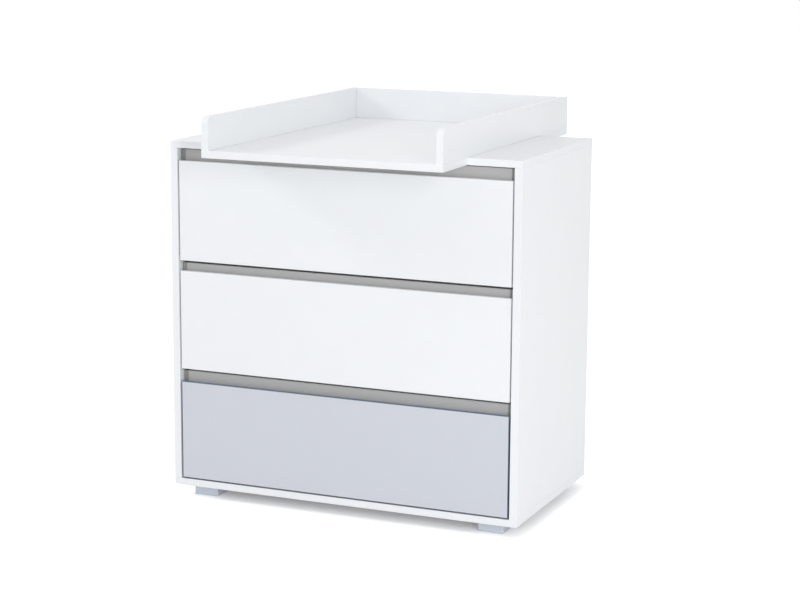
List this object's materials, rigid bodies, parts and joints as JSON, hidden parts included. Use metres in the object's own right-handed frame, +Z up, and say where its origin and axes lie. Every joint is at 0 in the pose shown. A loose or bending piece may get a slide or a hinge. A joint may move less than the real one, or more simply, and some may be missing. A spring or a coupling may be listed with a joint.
{
  "type": "changing table",
  "caption": "Changing table: a chest of handle-less drawers on telescopic slides, with an open-fronted changing tray across its top.",
  "frame": {"origin": "on the floor, under the middle of the overall box, which is also the middle of the tray's length", "axes": "+X to the right as seen from the front, +Y towards the rear, +Z up"},
  "size_m": [0.85, 0.796, 0.907],
  "materials": {
    "white_melamine_board": "white melamine-faced chipboard, satin",
    "pale_grey_melamine_board": "pale grey melamine-faced chipboard, satin",
    "grey_melamine_board": "grey melamine-faced chipboard, matt",
    "white_hardboard": "white-faced hardboard",
    "grey_foot_plastic": "moulded grey plastic, matt",
    "zinc_plated_rail_steel": "cold-rolled zinc-plated steel",
    "zinc_plated_steel": "zinc-plated steel",
    "beech": "bare fluted beech"
  },
  "bodies": {
    "cabinet": {"top_panel": "white_melamine_board", "front_shelf": "white_melamine_board", "rear_shelf": "white_melamine_board", "tray_left_wall": "white_melamine_board", "tray_right_wall": "white_melamine_board", "tray_back_wall": "white_melamine_board", "bottom_panel": "white_melamine_board", "left_side_panel": "white_melamine_board", "right_side_panel": "white_melamine_board", "back_panel": "white_hardboard", "foot_front_left": "grey_foot_plastic", "foot_front_right": "grey_foot_plastic", "foot_rear_left": "grey_foot_plastic", "foot_rear_right": "grey_foot_plastic", "foot_screws": "zinc_plated_steel", "cam_fittings": "zinc_plated_steel", "dowels": "beech", "tray_screws": "zinc_plated_steel", "rail_1_left_outer": "zinc_plated_rail_steel", "rail_1_right_outer": "zinc_plated_rail_steel", "rail_2_left_outer": "zinc_plated_rail_steel", "rail_2_right_outer": "zinc_plated_rail_steel", "rail_3_left_outer": "zinc_plated_rail_steel", "rail_3_right_outer": "zinc_plated_rail_steel"},
    "drawer_1": {"drawer_1_front": "white_melamine_board", "drawer_1_box_front": "grey_melamine_board", "drawer_1_box_back": "grey_melamine_board", "drawer_1_box_left": "grey_melamine_board", "drawer_1_box_right": "grey_melamine_board", "drawer_1_box_bottom": "white_hardboard", "rail_1_left_inner": "zinc_plated_rail_steel", "rail_1_right_inner": "zinc_plated_rail_steel"},
    "middle_rails_1": {"rail_1_left_middle": "zinc_plated_rail_steel", "rail_1_right_middle": "zinc_plated_rail_steel"},
    "ball_cages_1_outer": {"ball_cages_1_outer": "zinc_plated_rail_steel"},
    "ball_cages_1_inner": {"ball_cages_1_inner": "zinc_plated_rail_steel"},
    "drawer_2": {"drawer_2_front": "white_melamine_board", "drawer_2_box_front": "grey_melamine_board", "drawer_2_box_back": "grey_melamine_board", "drawer_2_box_left": "grey_melamine_board", "drawer_2_box_right": "grey_melamine_board", "drawer_2_box_bottom": "white_hardboard", "rail_2_left_inner": "zinc_plated_rail_steel", "rail_2_right_inner": "zinc_plated_rail_steel"},
    "middle_rails_2": {"rail_2_left_middle": "zinc_plated_rail_steel", "rail_2_right_middle": "zinc_plated_rail_steel"},
    "ball_cages_2_outer": {"ball_cages_2_outer": "zinc_plated_rail_steel"},
    "ball_cages_2_inner": {"ball_cages_2_inner": "zinc_plated_rail_steel"},
    "drawer_3": {"drawer_3_front": "pale_grey_melamine_board", "drawer_3_box_front": "grey_melamine_board", "drawer_3_box_back": "grey_melamine_board", "drawer_3_box_left": "grey_melamine_board", "drawer_3_box_right": "grey_melamine_board", "drawer_3_box_bottom": "white_hardboard", "rail_3_left_inner": "zinc_plated_rail_steel", "rail_3_right_inner": "zinc_plated_rail_steel"},
    "middle_rails_3": {"rail_3_left_middle": "zinc_plated_rail_steel", "rail_3_right_middle": "zinc_plated_rail_steel"},
    "ball_cages_3_outer": {"ball_cages_3_outer": "zinc_plated_rail_steel"},
    "ball_cages_3_inner": {"ball_cages_3_inner": "zinc_plated_rail_steel"}
  },
  "joints": [
    {"name": "drawer_1_slide", "type": "slide", "parent": "cabinet", "child": "drawer_1", "axis": [0, -1, 0], "range_m": [0, 0.4]},
    {"name": "middle_rails_1_slide", "type": "slide", "parent": "cabinet", "child": "middle_rails_1", "axis": [0, -1, 0], "range_m": [0, 0.2]},
    {"name": "ball_cages_1_outer_slide", "type": "slide", "parent": "cabinet", "child": "ball_cages_1_outer", "axis": [0, -1, 0], "range_m": [0, 0.1]},
    {"name": "ball_cages_1_inner_slide", "type": "slide", "parent": "cabinet", "child": "ball_cages_1_inner", "axis": [0, -1, 0], "range_m": [0, 0.3]},
    {"name": "drawer_2_slide", "type": "slide", "parent": "cabinet", "child": "drawer_2", "axis": [0, -1, 0], "range_m": [0, 0.4]},
    {"name": "middle_rails_2_slide", "type": "slide", "parent": "cabinet", "child": "middle_rails_2", "axis": [0, -1, 0], "range_m": [0, 0.2]},
    {"name": "ball_cages_2_outer_slide", "type": "slide", "parent": "cabinet", "child": "ball_cages_2_outer", "axis": [0, -1, 0], "range_m": [0, 0.1]},
    {"name": "ball_cages_2_inner_slide", "type": "slide", "parent": "cabinet", "child": "ball_cages_2_inner", "axis": [0, -1, 0], "range_m": [0, 0.3]},
    {"name": "drawer_3_slide", "type": "slide", "parent": "cabinet", "child": "drawer_3", "axis": [0, -1, 0], "range_m": [0, 0.4]},
    {"name": "middle_rails_3_slide", "type": "slide", "parent": "cabinet", "child": "middle_rails_3", "axis": [0, -1, 0], "range_m": [0, 0.2]},
    {"name": "ball_cages_3_outer_slide", "type": "slide", "parent": "cabinet", "child": "ball_cages_3_outer", "axis": [0, -1, 0], "range_m": [0, 0.1]},
    {"name": "ball_cages_3_inner_slide", "type": "slide", "parent": "cabinet", "child": "ball_cages_3_inner", "axis": [0, -1, 0], "range_m": [0, 0.3]}
  ],
  "couplings": [
    {"joint": "middle_rails_1_slide", "follows": "drawer_1_slide", "ratio": 0.5},
    {"joint": "ball_cages_1_outer_slide", "follows": "drawer_1_slide", "ratio": 0.25},
    {"joint": "ball_cages_1_inner_slide", "follows": "drawer_1_slide", "ratio": 0.75},
    {"joint": "middle_rails_2_slide", "follows": "drawer_2_slide", "ratio": 0.5},
    {"joint": "ball_cages_2_outer_slide", "follows": "drawer_2_slide", "ratio": 0.25},
    {"joint": "ball_cages_2_inner_slide", "follows": "drawer_2_slide", "ratio": 0.75},
    {"joint": "middle_rails_3_slide", "follows": "drawer_3_slide", "ratio": 0.5},
    {"joint": "ball_cages_3_outer_slide", "follows": "drawer_3_slide", "ratio": 0.25},
    {"joint": "ball_cages_3_inner_slide", "follows": "drawer_3_slide", "ratio": 0.75}
  ]
}
